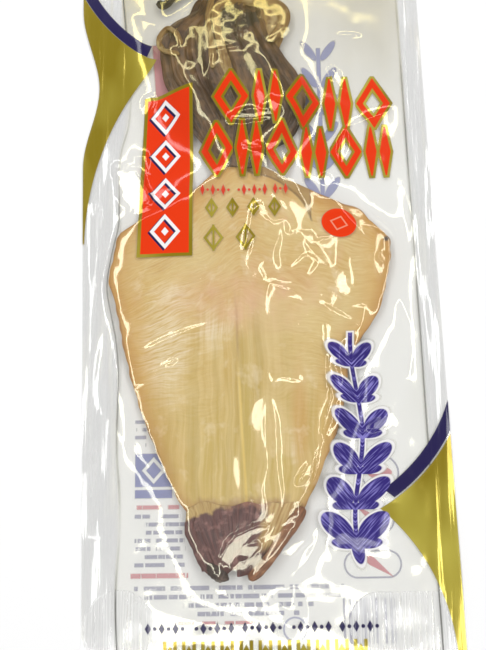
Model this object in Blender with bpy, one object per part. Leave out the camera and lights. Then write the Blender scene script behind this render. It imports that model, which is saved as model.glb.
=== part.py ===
"""A flat, sealed clear pack with one opened, dried squid in it, as one closed solid.

The pack lies on its back: +X is its right, +Y its top end, where the arms are, and +Z is up,
towards the printed front. The origin is under the middle of its flat back. Metres throughout.
"""

import math

import bmesh
import bpy

# Driving dimensions of the pouch.
PACK_WIDTH = 0.210
PACK_LENGTH = 0.450
PACK_HEIGHT = 0.020
SIDE_LEAN = 0.018          # how far the sides drift towards -X for each metre of +Y
RIM = 0.0016               # thickness of the sealed rim, both films and their curl
END_SEAL = 0.012           # flat crimped band at the top and at the bottom
LEFT_SEAL = 0.020          # flat strip down the left side
RIGHT_SEAL = 0.013         # flat strip down the right side
AIR = 0.0022               # what the trapped air lifts the front film, away from the squid

# The left side is pulled in beside the arms.
PULL_IN = 0.010
PULL_IN_Y = 0.128
PULL_IN_REACH = 0.052

# Driving dimensions of the squid under the film.
NECK = (-0.015, 0.081)
LEFT_CORNER = (-0.090, 0.020)
RIGHT_CORNER = (0.080, 0.025)
TAIL_X = -0.014
TAIL_TIP_Y = -0.168
TAIL_FOLD_Y = -0.126       # where the doubled tail begins
TAIL_FOLD_HALF = 0.034     # half the width of the tail there
TAIL_TIP_HALF = 0.014
MANTLE = 0.0045            # thickness of the mantle and what lifts the film off it
MANTLE_CURL = 0.0022       # how far its edges turn up
CURL_WIDTH = 0.012
CORNER_ROUND = 0.005       # how softly the sides of the mantle run into each other
TAIL_EXTRA = 0.0035        # what the fold adds
DRAPE = 0.012              # how wide the film slopes off the squid
ARMS_X = -0.019
ARMS_HALF = 0.040
ARMS_TOP = 0.205
ARMS_SKEW = 0.8            # below 1 the bundle is widest nearer the neck
ARMS_FULLNESS = 0.55       # below 1 its ends are blunt
ARMS_DOME = 1.5            # above 1 its back is flattened

# How finely the front film is divided.
COLUMNS = 48
ROWS = 104

FILM_COLOUR = (0.80, 0.79, 0.72, 1.0)
FILM_ROUGHNESS = 0.18


def smooth(value):
    """Rise smoothly from 0 to 1 as value goes from 0 to 1."""
    value = min(1.0, max(0.0, value))
    return value * value * (3.0 - 2.0 * value)


def side_x(side, y):
    """X of the left (-1) or right (+1) edge at y."""
    pull = smooth(1.0 - abs(y - PULL_IN_Y) / PULL_IN_REACH) if side < 0 else 0.0
    return side * PACK_WIDTH / 2 - SIDE_LEAN * y + PULL_IN * pull


def half_plane(point, start, end):
    """Distance of a point to the left of the line from start to end."""
    along = (end[0] - start[0], end[1] - start[1])
    length = math.hypot(*along)
    away = (point[0] - start[0], point[1] - start[1])
    return (along[0] * away[1] - along[1] * away[0]) / length


def soft_least(distances):
    """The least of some distances, with the corner between two of them rounded."""
    return -CORNER_ROUND * math.log(sum(math.exp(-d / CORNER_ROUND) for d in distances))


def mantle_depth(x, y):
    """How far a point lies inside the shield-shaped mantle; negative outside."""
    tail_left = (TAIL_X - TAIL_FOLD_HALF, TAIL_FOLD_Y)
    tail_right = (TAIL_X + TAIL_FOLD_HALF, TAIL_FOLD_Y)
    corners = (NECK, LEFT_CORNER, tail_left, tail_right, RIGHT_CORNER)
    sides = zip(corners, corners[1:] + corners[:1])
    return soft_least(half_plane((x, y), start, end) for start, end in sides)


def tail_depth(x, y):
    """How far a point lies inside the wedge of the folded tail; negative outside."""
    down = (TAIL_FOLD_Y - y) / (TAIL_FOLD_Y - TAIL_TIP_Y)
    half = TAIL_FOLD_HALF + (TAIL_TIP_HALF - TAIL_FOLD_HALF) * down
    return soft_least((half - abs(x - TAIL_X), y - TAIL_TIP_Y, TAIL_FOLD_Y + DRAPE - y))


def mantle_lift(x, y):
    """Height of the mantle: even in the middle, turned up along its edge."""
    depth = mantle_depth(x, y)
    curl = MANTLE_CURL * math.exp(-((depth / CURL_WIDTH - 1.0) ** 2))
    return (MANTLE + curl) * smooth(0.5 + depth / DRAPE)


def tail_lift(x, y):
    """Height of the tail, which is folded back over itself."""
    return (MANTLE + TAIL_EXTRA) * smooth(0.5 + tail_depth(x, y) / DRAPE)


def arms_lift(x, y):
    """Height of the bundle of arms: a domed ridge, thin at the neck and round at its end."""
    along = (y - NECK[1] + DRAPE) / (ARMS_TOP - NECK[1] + DRAPE)
    if not 0.0 < along < 1.0:
        return 0.0
    swell = math.sin(math.pi * along ** ARMS_SKEW) ** ARMS_FULLNESS
    across = abs(x - ARMS_X) / (ARMS_HALF * swell + DRAPE / 2)
    return (PACK_HEIGHT - RIM - AIR) * swell * smooth(ARMS_DOME * (1.0 - across))


def front_height(x, y):
    """Height of the front film above the back of the pack."""
    inside = min(
        x - side_x(-1, y) - LEFT_SEAL,
        side_x(1, y) - RIGHT_SEAL - x,
        PACK_LENGTH / 2 - END_SEAL - abs(y),
    )
    air = AIR * smooth(inside / DRAPE)
    squid = max(mantle_lift(x, y), tail_lift(x, y), arms_lift(x, y))
    return RIM + air + squid * smooth(inside / DRAPE + 1.0)


def film_material():
    """Clear film over pale squid, as one colour."""
    material = bpy.data.materials.new("film")
    material.use_nodes = True
    shader = material.node_tree.nodes["Principled BSDF"]
    shader.inputs["Base Color"].default_value = FILM_COLOUR
    shader.inputs["Roughness"].default_value = FILM_ROUGHNESS
    shader.inputs["Metallic"].default_value = 0.0
    return material


def build_pack():
    """Drape a grid as the front film, extrude its border down and close the flat back."""
    mesh = bmesh.new()
    bmesh.ops.create_grid(mesh, x_segments=COLUMNS, y_segments=ROWS, size=0.5)
    for vertex in mesh.verts:
        across, along, _ = vertex.co
        y = along * PACK_LENGTH
        left, right = side_x(-1, y), side_x(1, y)
        x = left + (across + 0.5) * (right - left)
        vertex.co = (x, y, front_height(x, y))

    border = [edge for edge in mesh.edges if edge.is_boundary]
    walls = bmesh.ops.extrude_edge_only(mesh, edges=border)["geom"]
    for vertex in (item for item in walls if isinstance(item, bmesh.types.BMVert)):
        vertex.co.z = 0.0
    back = [edge for edge in mesh.edges if edge.is_boundary]
    bmesh.ops.contextual_create(mesh, geom=back)
    bmesh.ops.recalc_face_normals(mesh, faces=mesh.faces)

    data = bpy.data.meshes.new("squid_pack")
    mesh.to_mesh(data)
    mesh.free()
    data.shade_smooth()
    data.set_sharp_from_angle(angle=math.radians(40))
    data.materials.append(film_material())
    pack = bpy.data.objects.new("squid_pack", data)
    bpy.context.scene.collection.objects.link(pack)


for existing in list(bpy.data.objects):
    bpy.data.objects.remove(existing)
build_pack()
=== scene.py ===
import math
import random

import bpy
import numpy as np
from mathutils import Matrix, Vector
from mathutils.bvhtree import BVHTree


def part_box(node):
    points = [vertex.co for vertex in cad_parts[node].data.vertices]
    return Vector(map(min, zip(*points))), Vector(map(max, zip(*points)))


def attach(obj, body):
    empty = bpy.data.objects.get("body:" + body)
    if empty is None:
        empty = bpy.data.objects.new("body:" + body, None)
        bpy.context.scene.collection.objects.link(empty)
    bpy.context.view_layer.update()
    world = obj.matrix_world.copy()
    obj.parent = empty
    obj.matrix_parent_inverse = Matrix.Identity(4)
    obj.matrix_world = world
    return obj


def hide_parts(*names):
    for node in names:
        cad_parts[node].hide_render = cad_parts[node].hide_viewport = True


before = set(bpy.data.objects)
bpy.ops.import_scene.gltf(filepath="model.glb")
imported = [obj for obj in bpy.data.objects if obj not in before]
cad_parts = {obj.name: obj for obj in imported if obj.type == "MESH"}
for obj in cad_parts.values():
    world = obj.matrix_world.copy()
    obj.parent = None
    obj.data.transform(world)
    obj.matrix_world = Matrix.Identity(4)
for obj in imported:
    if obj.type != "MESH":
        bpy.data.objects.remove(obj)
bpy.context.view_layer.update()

# A flat clear pouch lies on its back, printed side up, with one opened, dried squid in it.
# +X is its right, +Y its top end, where the arms are. Everything is in metres.

BODY = "root"
NODE = "squid_pack"

# The pouch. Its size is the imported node's own.
LOW, HIGH = (Vector(corner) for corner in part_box(NODE))
PACK_LENGTH = HIGH.y - LOW.y
SIDE_LEAN = 0.018
PACK_WIDTH = HIGH.x - LOW.x - SIDE_LEAN * PACK_LENGTH
PULL_IN = 0.010
PULL_IN_Y = 0.128
PULL_IN_REACH = 0.052
END_SEAL = 0.014
SEAL_LINE = (
    (-0.225, -0.0805), (-0.171, -0.0830), (-0.138, -0.0812), (-0.113, -0.0820), (-0.102, -0.0830),
    (-0.030, -0.0848), (-0.014, -0.0880), (0.000, -0.0902), (0.012, -0.0892), (0.027, -0.0865),
    (0.036, -0.0845), (0.055, -0.0840), (0.087, -0.0830), (0.103, -0.0790), (0.117, -0.0780),
    (0.150, -0.0800), (0.225, -0.0870),
)
RIGHT_SEAL = 0.013
BACK_FILM_Z = 0.0004
FILM_GAP = 0.0008          # the space between the squid and the front film
CLOSEST = 0.0003           # the least that is left of it under a crease
FILM_CELL = 0.00100        # size of one face of the front film
BACK_CELL = 0.0025
LEAST_AIR = 0.0006         # space between the films where nothing lies
SEALED_Z = 0.0012          # height of the front film where it is sealed down
SEALED_LEAST = 0.0008      # the lowest that its ripples take it there
DRAPE_ROUNDS = 90          # how far the front film is drawn tight over the squid
SOFT_ROUNDS = 10           # how far its small bumps are then evened out
CREASE_LEAN = 0.08         # slope of a crease's gentle side
CREASE_REACH = 0.032       # how far a crease may be felt round its path
BARE_COVER = {"front": 0.11, "back": 0.09}

# The squid.
MIDLINE = -0.0125
MANTLE_FOOT = -0.130
SQUID_Z = 0.0012
MANTLE_THICKNESS = 0.0022
EDGE_CURL = 0.0022         # how far the mantle's edges turn up
EDGE_CURL_WIDTH = 0.005
THROAT_RIGHT = 0.0305      # the seam at the right end of the bare collar
LEFT_SIDE = (
    (-0.130, -0.043), (-0.117, -0.051), (-0.098, -0.059), (-0.071, -0.070),
    (-0.039, -0.079), (-0.014, -0.084), (0.004, -0.0885), (0.023, -0.086), (0.040, -0.081),
)
RIGHT_SIDE = (
    (-0.130, 0.021), (-0.118, 0.0272), (-0.106, 0.0325), (-0.090, 0.0393), (-0.076, 0.0440),
    (-0.058, 0.0480), (-0.046, 0.0500), (-0.034, 0.0560), (-0.020, 0.066), (-0.004, 0.072),
    (0.012, 0.0755), (0.026, 0.0765), (0.040, 0.071),
)
COLLAR = (
    (0.00, 0.034), (0.06, 0.041), (0.15, 0.048), (0.28, 0.060), (0.37, 0.073), (0.43, 0.081),
    (0.50, 0.077), (0.60, 0.070), (0.72, 0.061), (0.85, 0.051), (0.95, 0.043), (1.00, 0.028),
)
FLAP_EDGE = (
    (-0.020, 0.080), (-0.008, 0.072), (0.009, 0.066), (0.017, 0.061), (0.028, 0.048), (0.031, 0.040),
)

# The arms: (y, middle of the bundle, half its spread, half width of one arm, height).
ARM_COURSE = (
    (0.078, -0.013, 0.009, 0.0034, 0.0045), (0.090, -0.012, 0.017, 0.0042, 0.0050),
    (0.104, -0.008, 0.027, 0.0052, 0.0056), (0.122, -0.012, 0.034, 0.0060, 0.0062),
    (0.145, -0.020, 0.033, 0.0064, 0.0062), (0.168, -0.024, 0.028, 0.0060, 0.0058),
    (0.186, -0.019, 0.017, 0.0050, 0.0050), (0.199, -0.019, 0.015, 0.0030, 0.0045),
)
ARM_COUNT = 9
UPPER_ARM_LIFT = 0.0036
TENTACLES = {
    "long_tentacle": (0.0032, (
        (-0.0190, 0.120, 0.0040), (-0.0195, 0.136, 0.0060), (-0.0220, 0.155, 0.0060),
        (-0.0245, 0.168, 0.0060), (-0.0235, 0.176, 0.0060), (-0.0170, 0.181, 0.0060),
        (-0.0070, 0.183, 0.0060), (0.0040, 0.183, 0.0060), (0.0125, 0.181, 0.0060),
        (0.0170, 0.175, 0.0065), (0.0170, 0.169, 0.0070), (0.0135, 0.161, 0.0080),
        (0.0070, 0.154, 0.0080),
    )),
    "short_tentacle": (0.0020, (
        (-0.0270, 0.134, 0.0060), (-0.0270, 0.141, 0.0060), (-0.0280, 0.155, 0.0060),
        (-0.0295, 0.168, 0.0060), (-0.0270, 0.182, 0.0060), (-0.0260, 0.194, 0.0060),
    )),
    "flap": (0.0056, (
        (0.0010, 0.196, 0.0050), (0.0055, 0.186, 0.0052), (0.0085, 0.176, 0.0054),
        (0.0100, 0.166, 0.0054), (0.0105, 0.157, 0.0050), (0.0090, 0.149, 0.0044),
    )),
    "curled_tip": (0.0019, (
        (-0.0460, 0.1500, 0.0060), (-0.0500, 0.1600, 0.0060), (-0.0550, 0.1640, 0.0060),
        (-0.0595, 0.1580, 0.0060), (-0.0580, 0.1500, 0.0060), (-0.0535, 0.1465, 0.0060),
        (-0.0470, 0.1440, 0.0060),
    )),
}
SUCKER_ROWS = ((-0.0195, 0.157, 0.181, 13), (-0.0145, 0.153, 0.181, 15), (-0.0080, 0.158, 0.180, 11))
SUCKER_PATCHES = (((-0.0180, 0.169), (0.0062, 0.0125), -18.0), ((-0.0040, 0.170), (0.0052, 0.0080), -30.0))
DARK_TIP = (
    (-0.036, 0.197, 0.0060), (-0.047, 0.192, 0.0060), (-0.0530, 0.1850, 0.0055),
    (-0.0575, 0.1815, 0.0050), (-0.0610, 0.1840, 0.0048),
)
HEAD = (
    (-0.012, 0.074, 0.0050), (-0.011, 0.088, 0.0056), (-0.010, 0.104, 0.0060), (-0.013, 0.122, 0.0070),
)
TAIL_LEFT = (
    (-0.167, -0.028), (-0.163, -0.0335), (-0.157, -0.0355), (-0.150, -0.0390), (-0.141, -0.0435),
    (-0.135, -0.0420), (-0.122, -0.0455),
)
TAIL_RIGHT = (
    (-0.167, -0.016), (-0.160, -0.006), (-0.149, 0.003), (-0.139, 0.012), (-0.130, 0.0195), (-0.122, 0.022),
)
TAIL_FOOT = (
    (0.0, -0.160), (0.2, -0.1655), (0.45, -0.1650), (0.60, -0.1600), (0.80, -0.1640), (1.0, -0.163),
)
TAIL_TOP = -0.1250
TAIL_STRIP = (
    (0.0215, -0.127, 0.0075), (0.008, -0.146, 0.0078), (-0.003, -0.160, 0.0075),
    (-0.0095, -0.1655, 0.0065),
)
TAIL_BULGE = (
    (-0.0400, -0.127, 0.0052), (-0.0415, -0.139, 0.0062), (-0.0375, -0.149, 0.0064),
    (-0.0325, -0.160, 0.0060),
)
TAIL_KNOT = ((-0.0325, -0.1570, 0.0068), (-0.0265, -0.1622, 0.0080), (-0.0205, -0.1652, 0.0066))
TAIL_THICKNESS = 0.0018

# ---------------------------------------------------------------- numbers and curves

def smooth(value):
    """Rise smoothly from 0 to 1 as value goes from 0 to 1."""
    value = np.clip(value, 0.0, 1.0)
    return value * value * (3.0 - 2.0 * value)


def through(knots):
    """A smooth curve through (place, value) knots, level beyond its ends."""
    at = np.array([knot[0] for knot in knots])
    value = np.array([knot[1] for knot in knots])
    slope = np.gradient(value, at)

    def curve(x):
        x = np.clip(x, at[0], at[-1])
        i = np.clip(np.searchsorted(at, x) - 1, 0, len(at) - 2)
        step = at[i + 1] - at[i]
        t = (x - at[i]) / step
        rise = smooth(t)
        start = slope[i] * step * t * (1.0 - t) ** 2
        end = slope[i + 1] * step * t * t * (t - 1.0)
        return value[i] + (value[i + 1] - value[i]) * rise + start + end

    return curve


def smooth_path(points, count):
    """Many places along a smooth line through a few points."""
    points = np.array(points, dtype=float)
    steps = np.linalg.norm(np.diff(points, axis=0), axis=1)
    along = np.concatenate(([0.0], np.cumsum(steps)))
    spots = np.linspace(0.0, along[-1], count)
    columns = [through(list(zip(along, points[:, k])))(spots) for k in range(points.shape[1])]
    return np.stack(columns, axis=1)


def ripples(x, y, size, seed, count=14):
    """Even random undulation between about -1 and 1, with hollows about size across."""
    draw = np.random.default_rng(seed)
    total = np.zeros_like(x)
    for _ in range(count):
        angle = draw.uniform(0.0, 2.0 * math.pi)
        wave = 2.0 * math.pi / (size * draw.uniform(0.7, 1.9))
        phase = draw.uniform(0.0, 2.0 * math.pi)
        total += np.sin((x * math.cos(angle) + y * math.sin(angle)) * wave + phase)
    return total / math.sqrt(count)


def distance_to_path(x, y, path):
    """Distance of many points to a line of short straight steps."""
    least = np.full(x.shape, np.inf)
    for start, end in zip(path[:-1], path[1:]):
        along = end - start
        reach = max(float(along @ along), 1e-12)
        share = np.clip(((x - start[0]) * along[0] + (y - start[1]) * along[1]) / reach, 0.0, 1.0)
        away = np.hypot(x - start[0] - share * along[0], y - start[1] - share * along[1])
        least = np.minimum(least, away)
    return least


# ---------------------------------------------------------------- modelling helpers

def select_none():
    """Leave object mode clean before an operator."""
    bpy.ops.object.select_all(action="DESELECT")


def points_of(piece):
    """The places of a piece's vertices, as rows."""
    flat = np.empty(len(piece.data.vertices) * 3)
    piece.data.vertices.foreach_get("co", flat)
    return flat.reshape(-1, 3)


def put_points(piece, points):
    """Move a piece's vertices to the given rows."""
    piece.data.vertices.foreach_set("co", np.ascontiguousarray(points, dtype=float).ravel())
    piece.data.update()


def added_grid(name, columns, rows):
    """A grid one unit across, centred, made the active piece."""
    select_none()
    bpy.ops.mesh.primitive_grid_add(x_subdivisions=columns, y_subdivisions=rows, size=1.0)
    piece = bpy.context.object
    piece.name = piece.data.name = name
    return piece


def laid_sheet(name, columns, rows, place):
    """A grid with each point put where place(across, along) says, both from 0 to 1."""
    piece = added_grid(name, columns, rows)
    flat = points_of(piece)
    put_points(piece, np.stack(place(flat[:, 0] + 0.5, flat[:, 1] + 0.5), axis=1))
    return piece


def thicken(piece, thickness):
    """Give a sheet an even wall below its upper face."""
    wall = piece.modifiers.new("wall", "SOLIDIFY")
    wall.thickness = thickness
    wall.offset = -1.0
    bpy.context.view_layer.objects.active = piece
    bpy.ops.object.modifier_apply(modifier=wall.name)


def write_number(piece, name, values):
    """Store one number at each vertex, for its material to read."""
    store = piece.data.attributes.new(name, "FLOAT", "POINT")
    store.data.foreach_set("value", np.ascontiguousarray(values))


def shade_soft(piece, degrees=60.0):
    """Shade a piece smooth but for its sharp edges."""
    select_none()
    piece.select_set(True)
    bpy.context.view_layer.objects.active = piece
    bpy.ops.object.shade_smooth_by_angle(angle=math.radians(degrees))


def joined(name, pieces):
    """Several pieces made one."""
    select_none()
    for piece in pieces:
        piece.select_set(True)
    bpy.context.view_layer.objects.active = pieces[0]
    if len(pieces) > 1:
        bpy.ops.object.join()
    whole = bpy.context.object
    whole.name = whole.data.name = name
    return whole


def finished(piece, finish, smooth_angle=60.0):
    """Give a piece its finish and its place in the model."""
    shade_soft(piece, smooth_angle)
    piece.data.materials.clear()
    piece.data.materials.append(finish)
    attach(piece, BODY)
    return piece


def added_tube(name, sides, cuts):
    """A closed tube one unit long, cut into rings, made the active piece."""
    select_none()
    bpy.ops.mesh.primitive_cylinder_add(vertices=sides, radius=1.0, depth=1.0, end_fill_type="NGON")
    piece = bpy.context.object
    piece.name = piece.data.name = name
    bpy.context.tool_settings.mesh_select_mode = (False, True, False)
    bpy.ops.object.mode_set(mode="EDIT")
    bpy.ops.mesh.select_all(action="DESELECT")
    bpy.ops.object.mode_set(mode="OBJECT")
    corners = piece.data.vertices
    for edge in piece.data.edges:
        start, end = (corners[k].co for k in edge.vertices)
        edge.select = abs(start.z - end.z) > 0.5
    bpy.ops.object.mode_set(mode="EDIT")
    bpy.ops.mesh.subdivide(number_cuts=cuts)
    bpy.ops.object.mode_set(mode="OBJECT")
    return piece


def write_around_and_along(piece, around, along):
    """Store the way round a tube and the way along it as its UV map; the seam is underneath."""
    data = piece.data
    corner = np.empty(len(data.loops), dtype=int)
    data.loops.foreach_get("vertex_index", corner)
    u, v = around[corner], along[corner]
    face = np.repeat(np.arange(len(data.polygons)), [len(p.vertices) for p in data.polygons])
    highest = np.zeros(len(data.polygons))
    np.maximum.at(highest, face, u)
    u = np.where((highest[face] > 0.75) & (u < 0.25), u + 1.0, u)
    data.uv_layers[0].data.foreach_set("uv", np.stack((u, v), axis=1).ravel())


def strand(name, path, half_width, half_height, seed, folds=0.10, sides=22, cuts=58):
    """A flattened tube along a path, with lengthwise folds; its sizes run along it as curves."""
    piece = added_tube(name, sides, cuts)
    flat = points_of(piece)
    along = flat[:, 2] + 0.5
    turn = np.arctan2(flat[:, 0], -flat[:, 1])
    write_around_and_along(piece, (turn / (2.0 * math.pi)) % 1.0, along)
    spine = smooth_path(path, cuts + 2)
    ways = np.gradient(spine, axis=0)
    ways /= np.linalg.norm(ways, axis=1)[:, None]
    side = np.cross(ways, (0.0, 0.0, 1.0))
    side /= np.linalg.norm(side, axis=1)[:, None]
    up = np.cross(side, ways)
    ring = np.clip(np.round(along * (cuts + 1)).astype(int), 0, cuts + 1)
    draw = np.random.default_rng(seed)
    phase = draw.uniform(0.0, 2.0 * math.pi, 4)
    swell = 1.0 + folds * np.sin(5.0 * turn + phase[0] + 4.0 * along)
    swell += 0.7 * folds * np.sin(9.0 * turn + phase[1] - 6.0 * along)
    swell += 0.5 * folds * np.sin(17.0 * along + phase[2] + 2.0 * turn)
    swell += 0.4 * folds * np.sin(41.0 * along + phase[3])
    across = np.sin(turn) * half_width(along) * swell
    rise = -np.cos(turn) * half_height(along) * swell
    put_points(piece, spine[ring] + side[ring] * across[:, None] + up[ring] * rise[:, None])
    recalculated(piece)
    return piece


def recalculated(piece):
    """Make all faces of a closed piece look outwards."""
    select_none()
    piece.select_set(True)
    bpy.context.view_layer.objects.active = piece
    bpy.ops.object.mode_set(mode="EDIT")
    bpy.ops.mesh.select_all(action="SELECT")
    bpy.ops.mesh.normals_make_consistent(inside=False)
    bpy.ops.object.mode_set(mode="OBJECT")


# ---------------------------------------------------------------- finishes

def tint(red, green, blue):
    """A colour from 0 to 255 as a shader takes it."""
    def linear(value):
        value = value / 255.0
        return value / 12.92 if value <= 0.04045 else ((value + 0.055) / 1.055) ** 2.4
    return (linear(red), linear(green), linear(blue), 1.0)


class Wire:
    """A node's output, which adds Math nodes when it is used in an expression."""

    def __init__(self, finish, socket):
        self.finish = finish
        self.socket = socket

    def maths(self, operation, *others):
        return self.finish.node("ShaderNodeMath", {"operation": operation}, self, *others)

    def __add__(self, other):
        return self.maths("ADD", other)

    def __sub__(self, other):
        return self.maths("SUBTRACT", other)

    def __rsub__(self, other):
        return self.finish.node("ShaderNodeMath", {"operation": "SUBTRACT"}, other, self)

    def __mul__(self, other):
        return self.maths("MULTIPLY", other)

    def __truediv__(self, other):
        return self.maths("DIVIDE", other)

    def __abs__(self):
        return self.maths("ABSOLUTE")

    __radd__ = __add__
    __rmul__ = __mul__


class Finish:
    """A material that is built by adding nodes."""

    def __init__(self, name):
        self.material = bpy.data.materials.new(name)
        self.material.use_nodes = True
        self.tree = self.material.node_tree
        self.shader = self.tree.nodes["Principled BSDF"]
        self.output = self.tree.nodes["Material Output"]
        place = self.tree.nodes.new("ShaderNodeTexCoord").outputs["Object"]
        self.place = Wire(self, place)
        split = self.tree.nodes.new("ShaderNodeSeparateXYZ")
        self.tree.links.new(place, split.inputs[0])
        self.x, self.y = (Wire(self, socket) for socket in split.outputs[:2])

    def feed(self, socket, value):
        """Link a wire to a socket, or set a plain value on it."""
        if isinstance(value, Wire):
            self.tree.links.new(value.socket, socket)
        else:
            socket.default_value = value

    def node(self, kind, settings=None, *values, out=0, **named):
        """Add a node with its settings, then the values or wires of its sockets."""
        node = self.tree.nodes.new(kind)
        for key, value in (settings or {}).items():
            if key == "stops":
                ramp = node.color_ramp
                while len(ramp.elements) < len(value):
                    ramp.elements.new(0.5)
                for element, (place, colour) in zip(ramp.elements, value):
                    element.position = place
                    element.color = colour
            else:
                setattr(node, key, value)
        for socket, value in zip(node.inputs, values):
            self.feed(socket, value)
        for name, value in named.items():
            self.feed(node.inputs[name.replace("_", " ")], value)
        return Wire(self, node.outputs[out])

    def mixed(self, share, under, over):
        """A colour between two, by a share from 0 to 1."""
        node = self.tree.nodes.new("ShaderNodeMix")
        node.data_type = "RGBA"
        self.feed(node.inputs[0], share)
        self.feed(node.inputs[6], under)
        self.feed(node.inputs[7], over)
        return Wire(self, node.outputs[2])

    def between(self, share, low, high):
        """A number between two, by a share from 0 to 1."""
        return low + share * (high - low)

    def point(self, x, y, z=0.0):
        """A place put together from three numbers."""
        return self.node("ShaderNodeCombineXYZ", None, x, y, z)

    def noise(self, place, scale, detail=2.0, roughness=0.5):
        """Soft random values around 0.5."""
        return self.node(
            "ShaderNodeTexNoise", None, Vector=place, Scale=scale, Detail=detail, Roughness=roughness)

    def clamped(self, value, scale=1.0, shift=0.0):
        """A value scaled and shifted, kept between 0 and 1."""
        settings = {"operation": "MULTIPLY_ADD", "use_clamp": True}
        return self.node("ShaderNodeMath", settings, value, scale, shift)

    def least(self, *values):
        """The smallest of several values."""
        total = values[0]
        for value in values[1:]:
            total = self.node("ShaderNodeMath", {"operation": "MINIMUM"}, total, value)
        return total

    def most(self, *values):
        """The largest of several values."""
        total = values[0]
        for value in values[1:]:
            total = self.node("ShaderNodeMath", {"operation": "MAXIMUM"}, total, value)
        return total

    def vector(self, operation, *values, out=0):
        """A Vector Math node; its values are wires or plain (x, y, z)."""
        node = self.tree.nodes.new("ShaderNodeVectorMath")
        node.operation = operation
        for socket, value in zip(node.inputs, values):
            self.feed(socket, value)
        return Wire(self, node.outputs[out])

    def moved(self, place, centre, turn=0.0):
        """The place as seen from a centre, after turning by some degrees."""
        place = self.vector("SUBTRACT", place, (centre[0], centre[1], 0.0))
        if turn:
            settings = {"rotation_type": "Z_AXIS"}
            place = self.node("ShaderNodeVectorRotate", settings, Vector=place, Angle=-math.radians(turn))
        return place

    def parts(self, place):
        """The x and y of a place."""
        node = self.tree.nodes.new("ShaderNodeSeparateXYZ")
        self.feed(node.inputs[0], place)
        return Wire(self, node.outputs[0]), Wire(self, node.outputs[1])

    def disc(self, place, centre, radius):
        """How far a place is outside a disc; negative inside it."""
        return self.vector("DISTANCE", place, (centre[0], centre[1], 0.0), out=1) - radius

    def oval(self, place, centre, half, turn=0.0):
        """How far a place is outside an oval, nearly."""
        near = self.vector("DIVIDE", self.moved(place, centre, turn), (half[0], half[1], 1.0))
        return (self.vector("LENGTH", near, out=1) - 1.0) * min(half)

    def lozenge(self, place, centre, half, turn=0.0):
        """How far a place is outside a lozenge."""
        near = self.vector("ABSOLUTE", self.moved(place, centre, turn))
        reach = self.vector("DOT_PRODUCT", near, (1.0 / half[0], 1.0 / half[1], 0.0), out=1)
        return (reach - 1.0) * (1.0 / math.hypot(1.0 / half[0], 1.0 / half[1]))

    def box(self, place, centre, half, turn=0.0):
        """How far a place is outside a box."""
        near = self.vector("ABSOLUTE", self.moved(place, centre, turn))
        u, v = self.parts(self.vector("SUBTRACT", near, (half[0], half[1], 0.0)))
        return self.most(u, v)

    def capsule(self, place, start, end, radius):
        """How far a place is outside a bar with round ends."""
        along = (end[0] - start[0], end[1] - start[1])
        square = along[0] ** 2 + along[1] ** 2
        away = self.moved(place, start)
        share = self.vector("DOT_PRODUCT", away, (along[0] / square, along[1] / square, 0.0), out=1)
        share = self.clamped(share)
        foot = self.point(share * along[0], share * along[1])
        return self.vector("DISTANCE", away, foot, out=1) - radius

    def beyond(self, place, start, end):
        """How far a place is to the right of the line from start to end."""
        along = (end[0] - start[0], end[1] - start[1])
        length = math.hypot(*along)
        normal = (along[1] / length, -along[0] / length, 0.0)
        offset = normal[0] * start[0] + normal[1] * start[1]
        return self.vector("DOT_PRODUCT", place, normal, out=1) - offset

    def field(self, place, corners):
        """How far a place is outside a convex field whose corners go round to the left."""
        return self.most(*(self.beyond(place, a, b) for a, b in zip(corners, corners[1:] + corners[:1])))

    def repeated(self, place, first, pitch, count):
        """The place within the nearest of a row of equal cells, as seen from its middle, and its number."""
        x, y = self.parts(self.moved(place, first))
        step = (x, y)[0 if pitch[0] else 1] / max(pitch)
        number = self.node("ShaderNodeMath", {"operation": "FLOOR"}, step + 0.5)
        number = self.least(self.most(number, 0.0), count - 1.0)
        near = (step - number) * max(pitch)
        place = self.point(near, y) if pitch[0] else self.point(x, near)
        return place, number

    def ink(self, distance, edge=0.0003):
        """Where an ink lies, from how far a place is outside its shape."""
        return self.clamped(distance, -1.0 / edge, 0.5)

    def stored(self, name):
        """A number that is stored at each vertex of the piece."""
        return self.node("ShaderNodeAttribute", {"attribute_name": name}, out=2)

    def relief(self, height, distance, strength=1.0):
        """Feed the normal with a bump of the given height."""
        bump = self.node("ShaderNodeBump", None, Height=height, Distance=distance, Strength=strength)
        self.feed(self.shader.inputs["Normal"], bump)

    def set(self, **values):
        """Set or link the shader's own sockets."""
        for name, value in values.items():
            self.feed(self.shader.inputs[name.replace("_", " ")], value)
        return self

    def see_through(self, cover):
        """Let cover say how much of the light the surface stops."""
        clear = self.tree.nodes.new("ShaderNodeBsdfTransparent")
        mix = self.tree.nodes.new("ShaderNodeMixShader")
        self.feed(mix.inputs[0], cover)
        self.tree.links.new(clear.outputs[0], mix.inputs[1])
        self.tree.links.new(self.shader.outputs[0], mix.inputs[2])
        self.tree.links.new(mix.outputs[0], self.output.inputs["Surface"])


# Places on the mantle where the fibres are washed out: middle, half its width and length.
WASHED_SPOTS = (
    ((-0.056, -0.036), (0.016, 0.032)), ((-0.030, -0.026), (0.010, 0.014)),
    ((-0.052, -0.006), (0.013, 0.010)), ((0.019, -0.094), (0.006, 0.010)),
)


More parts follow.
